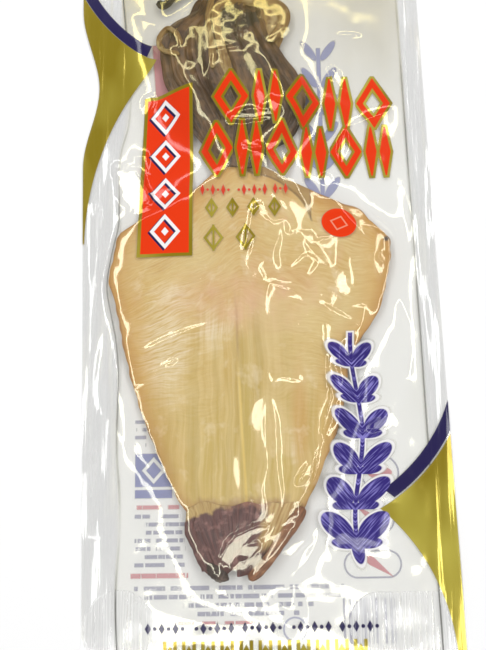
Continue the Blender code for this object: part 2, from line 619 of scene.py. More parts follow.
def mantle_finish():
    """Dried flesh: pale amber, fibres fanning from the midline, browner at its edges and foot."""
    f = Finish("dried_mantle")
    aside = abs(f.x - MIDLINE)
    lift = f.clamped(f.y, 8.0, 0.7)
    warp = f.noise(f.place, 30.0, 2.0)
    wave = f.noise(f.place, 110.0, 1.0)
    fibre = f.y + (aside * 0.50 + (MIDLINE - f.x) * 0.22) * lift + warp * 0.016 + wave * 0.003
    fan = f.noise(f.point(aside * 90.0, fibre * 760.0), 1.0, 2.5, 0.65)
    coarse = f.noise(f.point(aside * 36.0, fibre * 200.0, 5.0), 1.0, 2.0)
    rays = f.noise(f.point(f.x * 460.0 + warp * 4.0, f.y * 16.0, 3.0), 1.0, 2.5, 0.6)
    bands = f.noise(f.point(f.x * 120.0 + warp * 1.5, f.y * 5.0, 9.0), 1.0, 1.5)
    patches = f.noise(f.place, 24.0, 4.0, 0.6)
    blots = f.noise(f.point(f.x * 60.0, f.y * 34.0, 8.0), 1.0, 3.0, 0.6)
    low = f.clamped(f.y, -22.0, -1.0)
    middle = f.clamped(aside, -34.0, 1.25)
    upright = f.clamped(f.y, -30.0, 0.1) * f.most(middle, low)
    grain = f.between(upright, fan, rays)
    amber = f.mixed(f.clamped(f.y, -7.0, 0.35), tint(206, 163, 90), tint(198, 170, 90))
    pale = f.mixed(f.clamped(patches, 5.0, -2.1), amber, tint(215, 187, 124))
    pinkish = f.clamped(blots, 6.0, -3.3) * f.clamped(f.y, 12.0, 0.75)
    pale = f.mixed(pinkish * 0.6, pale, tint(216, 168, 128))
    colour = f.mixed(f.clamped(grain, 3.0, -1.15) * 0.75, pale, tint(226, 202, 144))
    colour = f.mixed(f.clamped(coarse, -5.0, 2.2) * (1.0 - upright) * 0.30, colour, tint(178, 130, 66))
    colour = f.mixed(f.clamped(bands, 7.0, -3.4) * upright * 0.5, colour, tint(178, 152, 72))
    band = f.clamped(abs(f.x + 0.009), -240.0, 1.3) * f.clamped(f.y, -20.0, -0.3)
    colour = f.mixed(band * 0.5, colour, tint(184, 160, 66))
    spine = abs(f.x + 0.0163 + f.y * 0.040 - warp * 0.002)
    groove = f.clamped(spine, -1000.0, 1.2) * f.clamped(f.y, -60.0, 0.0) * f.clamped(f.y, 40.0, 2.6)
    colour = f.mixed(groove * 0.4, colour, tint(150, 112, 60))
    cord = f.clamped(spine, -1100.0, 1.3) * f.clamped(f.y, -40.0, -1.4)
    colour = f.mixed(cord * 0.7, colour, tint(238, 208, 122))
    flat = f.point(f.x, f.y)
    washed = f.least(*(f.oval(flat, centre, half) for centre, half in WASHED_SPOTS))
    washed = f.clamped(washed + (coarse - 0.5) * 0.020, -110.0, 0.2) * f.clamped(grain, 3.4, -1.1)
    colour = f.mixed(washed * 0.62, colour, tint(240, 224, 194))
    tan = f.clamped(f.oval(flat, (0.021, -0.076), (0.0045, 0.024)), -240.0, 0.5)
    colour = f.mixed(tan * 0.5, colour, tint(204, 152, 78))
    rosy = f.clamped(f.oval(flat, (-0.006, -0.006), (0.046, 0.020)), -70.0, 0.4)
    rosy = rosy * f.clamped(blots, 3.0, -0.9)
    colour = f.mixed(rosy * 0.45, colour, tint(226, 176, 148))
    scuffs = f.clamped(f.noise(f.point(f.x * 80.0, fibre * 60.0, 4.0), 1.0, 3.0, 0.65), 7.0, -4.0)
    colour = f.mixed(scuffs * 0.42, colour, tint(238, 220, 184))
    foot = f.clamped(f.y + blots * 0.026, -120.0, -12.9)
    colour = f.mixed(foot * 0.8, colour, tint(134, 84, 62))
    rim = f.stored("rim")
    outer = f.clamped(rim, -52.0, 1.05) * f.clamped(f.y, 12.0, 1.6)
    colour = f.mixed(outer * 0.66, colour, tint(200, 144, 46))
    colour = f.mixed(f.clamped(rim, -110.0, 0.9) * 0.6, colour, tint(178, 122, 46))
    brink = f.clamped(rim, -1300.0, 1.7) * f.clamped(blots, 3.0, -0.8)
    colour = f.mixed(brink * 0.6, colour, tint(126, 80, 38))
    throat = f.stored("throat")
    brown = f.mixed(f.clamped(patches, 6.0, -2.8), tint(166, 136, 80), tint(132, 92, 56))
    colour = f.mixed(f.clamped(throat, 1000.0, 0.3) * 0.8, colour, brown)
    seam = f.clamped(abs(f.x - THROAT_RIGHT - (blots - 0.5) * 0.001), -1600.0, 1.3)
    seam = seam * f.clamped(abs(f.y - 0.054), -500.0, 6.5)
    colour = f.mixed(seam * 0.6, colour, tint(110, 78, 44))
    fold = f.stored("fold")
    # A dark line painted along the upper flap's edge: painted shade at the step there.
    colour = f.mixed(f.clamped(abs(fold), -1100.0, 1.0) * 0.8, colour, tint(88, 68, 50))
    spot = f.ink(f.disc(flat, (0.0745, 0.0275), 0.0015), 0.0012)
    colour = f.mixed(spot, colour, tint(70, 52, 48))
    height = fan * 0.5 + coarse * 0.7 + rays * upright * 0.8
    f.relief(height, 0.0005, 0.9)
    f.set(Base_Color=colour, Roughness=0.42, Specular_IOR_Level=0.5)
    return f.material


def tail_finish():
    """The tail's own side: purple-brown skin at the left, bare amber flesh at the right and at its edge."""
    f = Finish("tail_skin")
    toward = (f.x + 0.016) / (f.y + 0.19)
    streaks = f.noise(f.point(toward * 55.0, f.y * 60.0), 1.0, 3.0, 0.6)
    blots = f.noise(f.place, 150.0, 4.0, 0.65)
    broad = f.noise(f.place, 85.0, 2.0)
    skin = f.mixed(f.clamped(streaks, 3.4, -1.2), tint(72, 38, 42), tint(112, 68, 66))
    skin = f.mixed(f.clamped(blots, 5.0, -2.6), skin, tint(154, 110, 104))
    flesh = f.mixed(f.clamped(streaks, 3.0, -1.0), tint(170, 128, 70), tint(210, 182, 122))
    bare = f.clamped(f.x + f.y * -0.42 + (broad - 0.5) * 0.016 + (blots - 0.5) * 0.006, 190.0, -10.2)
    edge = f.clamped(f.y + (broad - 0.5) * 0.022 + (blots - 0.5) * 0.008, 300.0, 38.4)
    colour = f.mixed(edge * 0.8, skin, tint(158, 110, 88))
    colour = f.mixed(bare * f.clamped(f.y, 200.0, 30.4), colour, flesh)
    upper = f.clamped(f.y - f.x * 0.40 + (broad - 0.5) * 0.016 + (blots - 0.5) * 0.006, 420.0, 49.9)
    upper_flesh = f.mixed(f.clamped(streaks, 3.0, -1.0), tint(170, 136, 78), tint(204, 176, 116))
    colour = f.mixed(upper, colour, upper_flesh)
    f.relief(streaks + blots * 0.6, 0.0010, 0.8)
    f.set(Base_Color=colour, Roughness=0.38)
    return f.material


def arm_finish():
    """The arms' skin: streaky brown, purple and tan in patches, nearly black round the suckers."""
    f = streaked("arm_skin", tint(52, 29, 16), tint(88, 57, 33), tint(126, 90, 53))
    patches = f.noise(f.point(f.x * 60.0, f.y * 26.0, 2.0), 1.0, 3.0, 0.6)
    specks = f.noise(f.place, 420.0, 2.0)
    colour = f.mixed(f.clamped(patches, 6.0, -3.1) * 0.75, f.skin, tint(138, 102, 60))
    colour = f.mixed(f.clamped(patches, -7.0, 3.1) * 0.6, colour, tint(80, 46, 38))
    flat = f.point(f.x, f.y)
    near = f.least(*(f.oval(flat, centre, half, turn) for centre, half, turn in SUCKER_PATCHES))
    dark = f.clamped(near + (specks - 0.5) * 0.008, -500.0, 0.4)
    colour = f.mixed(dark * 0.8, colour, tint(40, 32, 22))
    f.set(Base_Color=colour)
    return f.material


def skin_finish(name, dark, middle, light):
    """Dried skin in three shades."""
    return streaked(name, dark, middle, light).material


def streaked(name, dark, middle, light):
    """Dried skin: streaks along the piece's own length, from its UV map."""
    f = Finish(name)
    around, along = f.parts(f.node("ShaderNodeUVMap"))
    streaks = f.noise(f.point(around * 22.0, along * 7.0, f.x * 60.0), 1.0, 3.0, 0.6)
    blots = f.noise(f.place, 110.0, 3.0, 0.6)
    colour = f.mixed(f.clamped(streaks, 3.4, -1.2), dark, middle)
    colour = f.mixed(f.clamped(blots, 4.0, -2.0), colour, light)
    f.relief(streaks + blots * 0.6, 0.0012, 0.8)
    f.set(Base_Color=colour, Roughness=0.38)
    f.skin = colour
    return f


# ---------------------------------------------------------------- the squid

def side_x(side, y):
    """X of the pouch's left (-1) or right (+1) edge at y."""
    pull = smooth(1.0 - np.abs(y - PULL_IN_Y) / PULL_IN_REACH) if side < 0 else 0.0
    return side * PACK_WIDTH / 2 - SIDE_LEAN * y + PULL_IN * pull


def make_mantle():
    """The opened mantle: a wide shield with turned-up edges and a ridge down its middle."""
    left, right, collar = through(LEFT_SIDE), through(RIGHT_SIDE), through(COLLAR)
    flap = smooth_path(FLAP_EDGE, 24)

    def place(across, along):
        y = MANTLE_FOOT + along * (collar(across) - MANTLE_FOOT)
        x = left(y) + across * (right(y) - left(y))
        ragged = 0.0004 * ripples(x, y, 0.012, 5)
        x = x + ragged * (np.abs(across - 0.5) * 2.0) ** 8
        inside = np.minimum(np.minimum(x - left(y), right(y) - x), (collar(across) - y) * 0.8)
        uneven = np.clip(0.5 + 0.9 * ripples(x, y, 0.035, 11), 0.0, 1.4)
        curl = EDGE_CURL * np.exp(-((inside / EDGE_CURL_WIDTH) ** 2)) * uneven
        curl = curl * smooth((y + 0.127) / 0.014) * (1.0 - 0.6 * smooth((0.4 - across) / 0.2))
        spine = x + 0.0163 + y * 0.040
        ridge = 0.0008 * np.exp(-((spine / 0.0014) ** 2))
        ridge = ridge + 0.0007 * np.exp(-(((spine - 0.011) / 0.0022) ** 2))
        ridge = ridge * smooth((0.004 - y) / 0.03)
        waves = 0.0005 * ripples(x, y, 0.045, 3) + 0.00022 * ripples(x, y, 0.014, 4)
        step = 0.0012 * smooth(distance_to_path(x, y, flap) / 0.0015)
        beyond = x > np.interp(y, flap[::-1, 1], flap[::-1, 0])
        behind = np.where(beyond & (y > FLAP_EDGE[-1][1]), 1.0, 0.0)
        z = SQUID_Z + MANTLE_THICKNESS + 0.0012 + curl + ridge + waves - behind * step
        return x, y, z

    mantle = laid_sheet("mantle", 150, 210, place)
    points = points_of(mantle)
    x, y = points[:, 0], points[:, 1]
    inside = np.minimum(x - left(y), right(y) - x)
    share = (x - left(y)) / (right(y) - left(y))
    inside = np.minimum(inside, collar(share) - y)
    write_number(mantle, "rim", inside)
    write_number(mantle, "fold", distance_to_path(x, y, flap))
    beyond = x - np.interp(y, flap[::-1, 1], flap[::-1, 0])
    throat = np.minimum(np.minimum(beyond, THROAT_RIGHT - x), y - FLAP_EDGE[-1][1])
    write_number(mantle, "throat", throat)
    thicken(mantle, MANTLE_THICKNESS)
    return finished(mantle, mantle_finish())


def round_ended(sharpness, least):
    """Width along a strand as a share: 1 but near its ends, where it rounds off to the root of least."""
    def share(along):
        return np.sqrt(np.clip(1.0 - ((along - 0.5) / 0.5) ** sharpness, least, 1.0))
    return share


def make_arms():
    """Nine arms side by side in two layers, spreading from the neck and closing at the top."""
    draw = random.Random(4)
    arms = []
    for k in range(ARM_COUNT):
        side = 2.0 * k / (ARM_COUNT - 1) - 1.0
        lift = UPPER_ARM_LIFT if k % 2 else 0.0
        shorter = draw.uniform(0.0, 0.014) if abs(side) < 0.9 else 0.012
        path, widths = [], []
        for y, middle, spread, half, z in ARM_COURSE:
            share = (y - ARM_COURSE[0][0]) / (ARM_COURSE[-1][0] - ARM_COURSE[0][0])
            stray = draw.uniform(-0.0014, 0.0014)
            bow = 1.0 - 0.25 * side * side
            rise = lift * math.sin(math.pi * share) ** 0.5
            path.append((middle + spread * side + stray, y - shorter * share, z * bow + rise))
            widths.append((share, half * draw.uniform(0.88, 1.12)))
        width, ends = through(widths), round_ended(10, 0.02)
        arm = strand(f"arm_{k}", path, lambda t: width(t) * ends(t),
                     lambda t: 0.62 * width(t) * ends(t), k, 0.13)
        arms.append(arm)
    head = strand("head", HEAD,
                  lambda t: 0.0145 * np.sin(math.pi * (0.12 + 0.78 * t)) ** 0.6 + 0.006 * t,
                  lambda t: 0.0042 * np.sin(math.pi * (0.10 + 0.85 * t)) ** 0.5, 31, 0.09)
    tip = strand("dark_tip", DARK_TIP, lambda t: 0.0030 - 0.0010 * t,
                 lambda t: 0.0024 - 0.0008 * t, 32, 0.20)
    dark = skin_finish("tip_skin", tint(30, 24, 20), tint(52, 42, 36), tint(112, 100, 88))
    finished(tip, dark, 80.0)
    bundle = joined("arms", arms + [head])
    points = points_of(bundle)
    points[:, 2] = np.maximum(points[:, 2], SQUID_Z)
    put_points(bundle, points)
    return finished(bundle, arm_finish(), 80.0), tip


def make_tentacles(arms):
    """Thin straps over the arms and beside them: golden tentacles, a flap of skin and a curled tip."""
    straps, ends = [], round_ended(12, 0.03)
    for k, (name, (half, path)) in enumerate(TENTACLES.items()):
        path = np.array(path)
        under = contents_height([arms], path[:, 0], path[:, 1]) + 0.0008
        if name != "flap":
            path[:, 2] = np.where(under > 0.0009, np.maximum(path[:, 2], under), path[:, 2])
        straps.append(strand(name, path, lambda t: half * ends(t) * (1.0 + 0.15 * np.sin(9.0 * t + k)),
                             lambda t: 0.0010 * ends(t), 50 + k, 0.10, 18, 90))
    whole = joined("tentacles", straps)
    finish = skin_finish("tentacle_skin", tint(126, 88, 42), tint(168, 134, 74), tint(206, 184, 128))
    return finished(whole, finish, 80.0)


def make_suckers():
    """Small rings in two rows on the arms that lie uppermost near the top."""
    draw = random.Random(9)
    rings = []
    select_none()
    bpy.ops.mesh.primitive_torus_add(
        major_radius=0.0009, minor_radius=0.0005, major_segments=12, minor_segments=6)
    first = bpy.context.object
    for x, start, end, count in SUCKER_ROWS:
        for k in range(count):
            ring = first.copy()
            ring.data = first.data.copy()
            bpy.context.scene.collection.objects.link(ring)
            size = draw.uniform(0.75, 1.25)
            points = points_of(ring) * size
            y = start + (end - start) * k / count
            side = 0.0014 * (1 if k % 2 else -1)
            x_here = x + side + 0.10 * (0.165 - y) + draw.uniform(-0.0004, 0.0004)
            put_points(ring, points + np.array((x_here, y, 0.0)))
            rings.append(ring)
    bpy.data.objects.remove(first)
    return rings


def settle(pieces, below, sink):
    """Lower small pieces straight down onto what lies under them."""
    for piece in pieces:
        points = points_of(piece)
        middle = points.mean(axis=0)
        top = contents_height(below, middle[:1], middle[1:2])[0]
        put_points(piece, points + np.array((0.0, 0.0, top - sink)))


def make_tail():
    """The brown skin side of the tail, folded over, with a rolled strip down its right."""
    left, right = through(TAIL_LEFT), through(TAIL_RIGHT)
    foot = through(TAIL_FOOT)

    def place(across, along):
        top = TAIL_TOP + 0.0012 * ripples(across * 0.06, np.zeros_like(across), 0.012, 7)
        y = foot(across) + along * (top - foot(across))
        x = left(y) + across * (right(y) - left(y))
        toward_tip = (x + 0.016) / (0.19 + y)
        pleats = 0.00035 * np.sin(toward_tip * 52.0 + 1.0) + 0.0002 * np.sin(toward_tip * 131.0)
        edge = np.minimum(np.minimum(across, 1.0 - across) * 0.05, along * 0.04)
        roll = 0.0012 * smooth(edge / 0.004)
        z = 0.0050 + roll + pleats * smooth(edge / 0.006) + 0.0004 * ripples(x, y, 0.012, 8)
        z = z + 0.0006 * smooth((1.0 - along) / 0.3)
        return x, y, z

    panel = laid_sheet("tail_panel", 90, 60, place)
    thicken(panel, TAIL_THICKNESS)
    bulge = strand("tail_bulge", TAIL_BULGE, lambda t: 0.0030 - 0.0006 * t, lambda t: 0.0018, 61, 0.12)
    tail = finished(joined("tail", [panel, bulge]), tail_finish(), 80.0)
    ends = round_ended(16, 0.02)
    roll = strand("tail_roll", TAIL_STRIP, lambda t: (0.0034 - 0.0004 * t) * ends(t),
                  lambda t: 0.0021 * ends(t), 63, 0.07)
    brown = skin_finish("roll_skin", tint(112, 66, 40), tint(154, 98, 62), tint(192, 142, 98))
    finished(roll, brown, 80.0)
    knot = strand("tail_knot", TAIL_KNOT,
                  lambda t: 0.0034 * np.sqrt(np.clip(np.sin(math.pi * t), 0.05, 1.0)),
                  lambda t: 0.0024 * np.sqrt(np.clip(np.sin(math.pi * t), 0.05, 1.0)), 62, 0.14)
    dark = skin_finish("knot_skin", tint(48, 34, 34), tint(74, 54, 50), tint(120, 98, 88))
    finished(knot, dark, 80.0)
    return [tail, roll, knot]


def make_contents():
    """Everything between the two films: the large pieces, and the suckers on them."""
    arms, tip = make_arms()
    tentacles = make_tentacles(arms)
    rings = make_suckers()
    settle(rings, [arms, tentacles], 0.0004)
    suckers = joined("suckers", rings)
    pale = skin_finish("sucker_skin", tint(96, 80, 58), tint(150, 132, 102), tint(214, 200, 172))
    finished(suckers, pale, 80.0)
    return [make_mantle(), arms, tip, tentacles] + make_tail(), suckers


# ---------------------------------------------------------------- the print

GOLD = tint(156, 136, 24)
# Painted highlight tone of the gold ink.
GOLD_SHEEN = tint(208, 194, 80)
NAVY = tint(34, 27, 76)
SPRIG_BLUE = tint(50, 38, 118)
LILAC = tint(140, 132, 206)
RED = tint(230, 54, 0)
WHITE_INK = tint(242, 240, 240)


def corner_fields(f, flat):
    """The gold corner fields and the navy bands along their curved edges."""
    upper = f.vector("DISTANCE", flat, (-0.012, 0.241, 0.0), out=1)
    lower = f.vector("DISTANCE", flat, (0.0135, -0.0351, 0.0), out=1)
    gold_left = f.most(0.1085 - upper, 0.180 - f.vector("DISTANCE", flat, (0.0755, 0.0278, 0.0), out=1),
                       0.028 - f.y, f.x + 0.02)
    gold_right = f.most(0.1065 - lower, 0.111 - f.vector("DISTANCE", flat, (-0.007, -0.213, 0.0), out=1),
                        0.060 - f.x, f.y + 0.03)
    band_left = f.most(abs(upper - 0.105) - 0.0034, f.beyond(flat, (-0.068, 0.148), (-0.063, 0.157)))
    band_right = f.most(abs(lower - 0.102) - 0.0037, f.y + 0.03,
                        f.beyond(flat, (0.066, -0.117), (0.074, -0.123)))
    return f.least(gold_left, gold_right), f.least(band_left, band_right)


# The two title rows: x of the first shape, pitch, count, y of the row's middle, half its height.
TITLE_ROWS = ((-0.0160, 0.0218, 5, 0.1160, 0.0165), (-0.0250, 0.0196, 6, 0.0845, 0.0155))


def title_shapes(f, flat):
    """Two rows of plain shapes in the middle: lozenge rings by turns with pairs of pointed bars."""
    rows = []
    for first, pitch, count, middle, half in TITLE_ROWS:
        cell, number = f.repeated(flat, (first, middle), (pitch, 0.0), count)
        odd = f.node("ShaderNodeMath", {"operation": "PINGPONG"}, number, 1.0)
        ring = abs(f.lozenge(cell, (0.0, 0.0), (pitch * 0.38, half * 0.82))) - 0.0018
        u, v = f.parts(cell)
        bars = f.lozenge(f.point(abs(u) - pitch * 0.22, v), (0.0, 0.0), (0.0034, half * 1.15))
        shape = ring + odd * (bars - ring)
        rows.append(f.most(shape, abs(f.y - middle) - half))
    return f.least(*rows)


def label_shapes(f, flat):
    """The upright label at the left: its field, and the white rings down its middle."""
    label = f.field(flat, [(-0.069, 0.120), (-0.073, 0.018), (-0.040, 0.019), (-0.039, 0.125)])
    cell, _ = f.repeated(flat, (-0.0562, 0.0340), (0.0, 0.0245), 4)
    rings = abs(f.lozenge(cell, (0.0, 0.0), (0.0078, 0.0092))) - 0.0010
    shadow = abs(f.lozenge(cell, (-0.0010, -0.0008), (0.0078, 0.0092))) - 0.0012
    dots = f.lozenge(cell, (0.0, 0.0), (0.0022, 0.0026))
    return label, f.least(rings, dots), shadow


def sprig_shapes(f):
    """A sprig of seaweed at the lower right: a waving stem with pairs of blades, smaller at its tip."""
    sway = f.node("ShaderNodeMath", {"operation": "SINE"}, f.y * 62.0 + 0.6) * 0.0030
    bent = f.point(f.x - 0.0535 - sway, f.y)
    cell, number = f.repeated(bent, (0.0, -0.1385), (0.0, 0.0195), 6)
    u, v = f.parts(cell)
    size = 1.12 - number * 0.075
    blade_place = f.point(abs(u) / size, v / size + abs(u) * 0.25)
    blade = f.oval(blade_place, (0.0092, 0.0030), (0.0112, 0.0047), 48.0) * size
    spare = f.oval(blade_place, (0.0058, -0.0060), (0.0074, 0.0026), 22.0) * size
    stem = f.box(bent, (0.0, -0.0870), (0.0013, 0.0580))
    foot = f.oval(bent, (0.0, -0.1500), (0.0036, 0.0085))
    veins = f.noise(f.point((abs(u) - v) * 900.0, (abs(u) + v) * 60.0, number * 3.0), 1.0, 1.0)
    return f.least(blade, spare, stem, foot), veins


def dashes(f, flat, centre, half, grain, fullness, seed):
    """A row of small upright marks with gaps between them, of uneven widths."""
    row = f.box(flat, centre, half)
    marks = f.noise(f.point(f.x * grain, f.y * grain * 0.07, float(seed)), 1.0, 0.5)
    gaps = f.noise(f.point(f.x * grain * 0.16, float(seed) + 9.0), 1.0, 0.0)
    marks = f.clamped(marks, 14.0, -14.0 * (1.0 - fullness) + 0.5)
    return f.least(f.ink(row), marks, f.clamped(gaps, 30.0, -11.5))


def beads(f, flat, centre, half, pitch, count):
    """A row of small lozenges and dots by turns, in groups of six."""
    first = (centre[0] - pitch * (count - 1) / 2, centre[1])
    cell, number = f.repeated(flat, first, (pitch, 0.0), count)
    odd = f.node("ShaderNodeMath", {"operation": "PINGPONG"}, number, 1.0)
    lozenge = f.lozenge(cell, (0.0, 0.0), (pitch * 0.46, half))
    shape = lozenge + odd * (f.disc(cell, (0.0, 0.0), pitch * 0.28) - lozenge)
    group = f.node("ShaderNodeMath", {"operation": "MODULO"}, number, 7.0)
    return f.most(shape, abs(f.y - centre[1]) - half, (0.5 - abs(group - 6.0)) * 0.01)


def front_inks(f, flat):
    """All inks of the front as (where, colour, cover, sheen), the lowest first."""
    gold, navy = corner_fields(f, flat)
    title = title_shapes(f, flat)
    label, rings, shadow = label_shapes(f, flat)
    sprig, veins = sprig_shapes(f)
    disc = f.oval(flat, (0.047, 0.038), (0.0105, 0.0088), -18.0)
    mark = abs(f.lozenge(flat, (0.047, 0.0378), (0.0050, 0.0042), -18.0)) - 0.0004
    leaf_row, _ = f.repeated(flat, (-0.0285, 0.0485), (0.0125, 0.0), 4)
    small_gold = f.least(abs(f.lozenge(leaf_row, (0.0, 0.0), (0.0030, 0.0048))) - 0.0008,
                         f.box(leaf_row, (0.0, 0.0), (0.0006, 0.0055)))
    star_row, _ = f.repeated(flat, (-0.0275, 0.0300), (0.0190, 0.0), 2)
    large_gold = f.least(abs(f.lozenge(star_row, (0.0, 0.0), (0.0050, 0.0068))) - 0.0008,
                         f.box(star_row, (0.0, 0.0), (0.0007, 0.0082)))
    blocks, _ = f.repeated(flat, (-0.053, -0.2040), (0.0104, 0.0), 11)
    u, v = f.parts(blocks)
    block = f.least(f.box(f.point(abs(u), v), (0.0028, 0.0), (0.0010, 0.0062)),
                    f.lozenge(blocks, (0.0, 0.0), (0.0024, 0.0040)))
    # Gold ink painted lighter in soft patches and towards the right: a painted sheen of the metallic ink.
    gold_sheen = f.clamped(f.noise(f.point(f.x * 34.0, f.y * 12.0), 1.0, 2.0) + f.x * 1.1, 3.2, -1.45)
    gold_colour = f.mixed(gold_sheen, GOLD, GOLD_SHEEN)
    navy_colour = f.mixed(f.clamped(veins, 5.0, -2.45), SPRIG_BLUE, LILAC)
    red_marks = beads(f, flat, (-0.009, 0.0595), 0.0037, 0.0031, 17)
    navy_marks = beads(f, flat, (-0.0005, -0.1912), 0.0031, 0.0038, 35)
    return (
        (f.ink(sprig - 0.0011, 0.0008), WHITE_INK, 0.80, 0.0),
        (f.ink(f.least(gold, title - 0.0016, small_gold, large_gold, block)), gold_colour, 0.93, 0.35),
        (f.ink(navy), NAVY, 0.97, 0.0),
        (f.ink(sprig), navy_colour, 0.95, 0.0),
        (f.ink(navy_marks), NAVY, 0.92, 0.0),
        (f.ink(red_marks), tint(214, 60, 40), 0.90, 0.0),
        (f.ink(f.least(title, disc)), RED, 0.95, 0.0),
        (f.ink(mark), tint(240, 150, 120), 0.90, 0.0),
        (f.ink(label), gold_colour, 0.95, 0.35),
        (f.ink(label + 0.0021), RED, 0.96, 0.0),
        (f.ink(shadow), NAVY, 0.96, 0.0),
        (f.ink(rings), WHITE_INK, 0.96, 0.0),
    )


def back_inks(f, flat):
    """The inks of the back, which show faintly through: rows of marks, a plant and a few plain signs."""
    blue, pink, grey = tint(140, 145, 190), tint(208, 124, 132), tint(136, 136, 166)
    rows = []
    for k in range(7):
        middle = (-0.0590 + 0.0006 * (k % 3), -0.1310 - 0.0044 * k)
        rows.append(dashes(f, flat, middle, (0.0140, 0.0011), 760.0, 0.62, 20 + k))
    long_rows = ((-0.015, 0.058), (-0.015, 0.056), (-0.010, 0.036), (-0.010, 0.028))
    for k, (middle, half) in enumerate(long_rows):
        rows.append(dashes(f, flat, (middle, -0.1700 - 0.0046 * k), (half, 0.0012), 760.0, 0.62, 30 + k))
    for k in range(4):
        rows.append(dashes(f, flat, (-0.070, -0.0780 - 0.0044 * k), (0.0032, 0.0010), 760.0, 0.65, 40 + k))
    pinks = [dashes(f, flat, (-0.060, -0.1260), (0.0120, 0.0012), 600.0, 0.66, 50),
             dashes(f, flat, (-0.059, -0.1632), (0.0160, 0.0014), 600.0, 0.66, 51),
             dashes(f, flat, (-0.028, -0.1885), (0.0220, 0.0009), 600.0, 0.62, 52)]
    frames = f.least(abs(f.oval(flat, (0.0655, -0.1085), (0.0105, 0.0100))) - 0.0005,
                     abs(f.capsule(flat, (0.0560, -0.1345), (0.0650, -0.1345), 0.0072)) - 0.0005,
                     abs(f.capsule(flat, (0.0510, -0.1585), (0.0680, -0.1585), 0.0072)) - 0.0005)
    signs = f.least(f.lozenge(flat, (0.0600, -0.1335), (0.0115, 0.0022), -38.0),
                    f.lozenge(flat, (0.0590, -0.1570), (0.0150, 0.0024), -36.0),
                    f.oval(flat, (0.0655, -0.1085), (0.0070, 0.0035)))
    bars = f.noise(f.point(f.x * 620.0, 70.0), 1.0, 0.0)
    bars = f.least(f.ink(f.box(flat, (0.058, -0.1885), (0.0165, 0.0120))), f.clamped(bars, 14.0, -6.8))
    stamp = abs(f.disc(flat, (0.0155, -0.1925), 0.0062)) - 0.0005
    square = f.most(f.box(flat, (-0.0625, -0.1085), (0.0105, 0.0125)),
                    0.0008 - abs(f.y + 0.1155),
                    0.0009 - abs(f.lozenge(flat, (-0.0625, -0.1055), (0.0055, 0.0062))))
    plant_place, _ = f.repeated(flat, (0.0385, 0.060), (0.0, 0.0180), 6)
    u, v = f.parts(plant_place)
    blade = f.oval(f.point(abs(u), v), (0.0060, 0.0020), (0.0082, 0.0026), 56.0)
    plant = f.least(blade, f.box(flat, (0.0385, 0.1020), (0.0014, 0.0520)))
    band = f.field(flat, [(-0.0650, 0.157), (-0.0625, 0.122), (-0.0525, 0.122), (-0.0575, 0.157)])
    return (
        (f.ink(band, 0.001), pink, 0.62, 0.0),
        (f.ink(plant, 0.0005), blue, 0.60, 0.0),
        (f.ink(square, 0.0004), blue, 0.70, 0.0),
        (f.most(*rows), grey, 0.50, 0.0),
        (f.most(*pinks), pink, 0.52, 0.0),
        (f.ink(frames), grey, 0.52, 0.0),
        (bars, grey, 0.48, 0.0),
        (f.ink(stamp), blue, 0.48, 0.0),
        (f.ink(signs), pink, 0.58, 0.0),
    )


# ---------------------------------------------------------------- the films

CLEAR = tint(250, 248, 222)
# Painted warm reflection: the bare film takes a darker golden tint towards its top.
TOP_REFLECTION_TINT = tint(204, 188, 104)
MILKY = tint(232, 232, 230)
LONG_WRINKLES = (
    ((0.038, -0.015), (0.040, -0.020), (0.037, -0.031), (0.039, -0.041), (0.040, -0.063), (0.034, -0.079),
     (0.033, -0.088), (0.028, -0.109), (0.022, -0.120), (0.016, -0.130), (0.008, -0.137), (-0.003, -0.146)),
    ((0.003, -0.063), (0.007, -0.079), (0.007, -0.092), (0.008, -0.109), (0.009, -0.118), (0.008, -0.128),
     (0.000, -0.139), (-0.005, -0.143)),
    ((0.003, -0.065), (0.001, -0.086), (0.003, -0.103), (0.000, -0.117), (0.001, -0.129), (-0.006, -0.139)),
    ((-0.0900, -0.068), (-0.0856, -0.078), (-0.0774, -0.091), (-0.0692, -0.101), (-0.0611, -0.111),
     (-0.0517, -0.1234), (-0.0440, -0.1345)),
    ((0.014, 0.092), (0.024, 0.060), (0.027, 0.053), (0.029, 0.047)),
    ((0.006, 0.116), (0.024, 0.100)),
    ((0.052, 0.099), (0.086, 0.113)),
    ((-0.066, 0.083), (-0.082, 0.080), (-0.074, 0.062)),
    ((0.026, -0.124), (0.030, -0.140), (0.022, -0.157), (0.008, -0.172)),
    ((-0.008, -0.172), (-0.002, -0.180), (-0.006, -0.186)),
    ((0.004, -0.176), (0.012, -0.182), (0.022, -0.181)),
    ((-0.066, -0.178), (-0.040, -0.186), (-0.010, -0.190)),
    ((0.086, 0.062), (0.091, 0.036), (0.084, 0.010), (0.078, -0.012)),
    ((0.080, -0.004), (0.088, -0.030), (0.084, -0.056)),
    ((0.060, -0.012), (0.058, -0.024), (0.046, -0.034), (0.046, -0.060)),
    ((-0.101, 0.054), (-0.097, 0.029), (-0.099, 0.004)),
    ((-0.092, -0.025), (-0.094, -0.066), (-0.089, -0.077)),
    ((-0.095, -0.105), (-0.092, -0.143)),
    ((-0.0880, 0.026), (-0.0895, 0.008), (-0.0875, -0.016)),
)
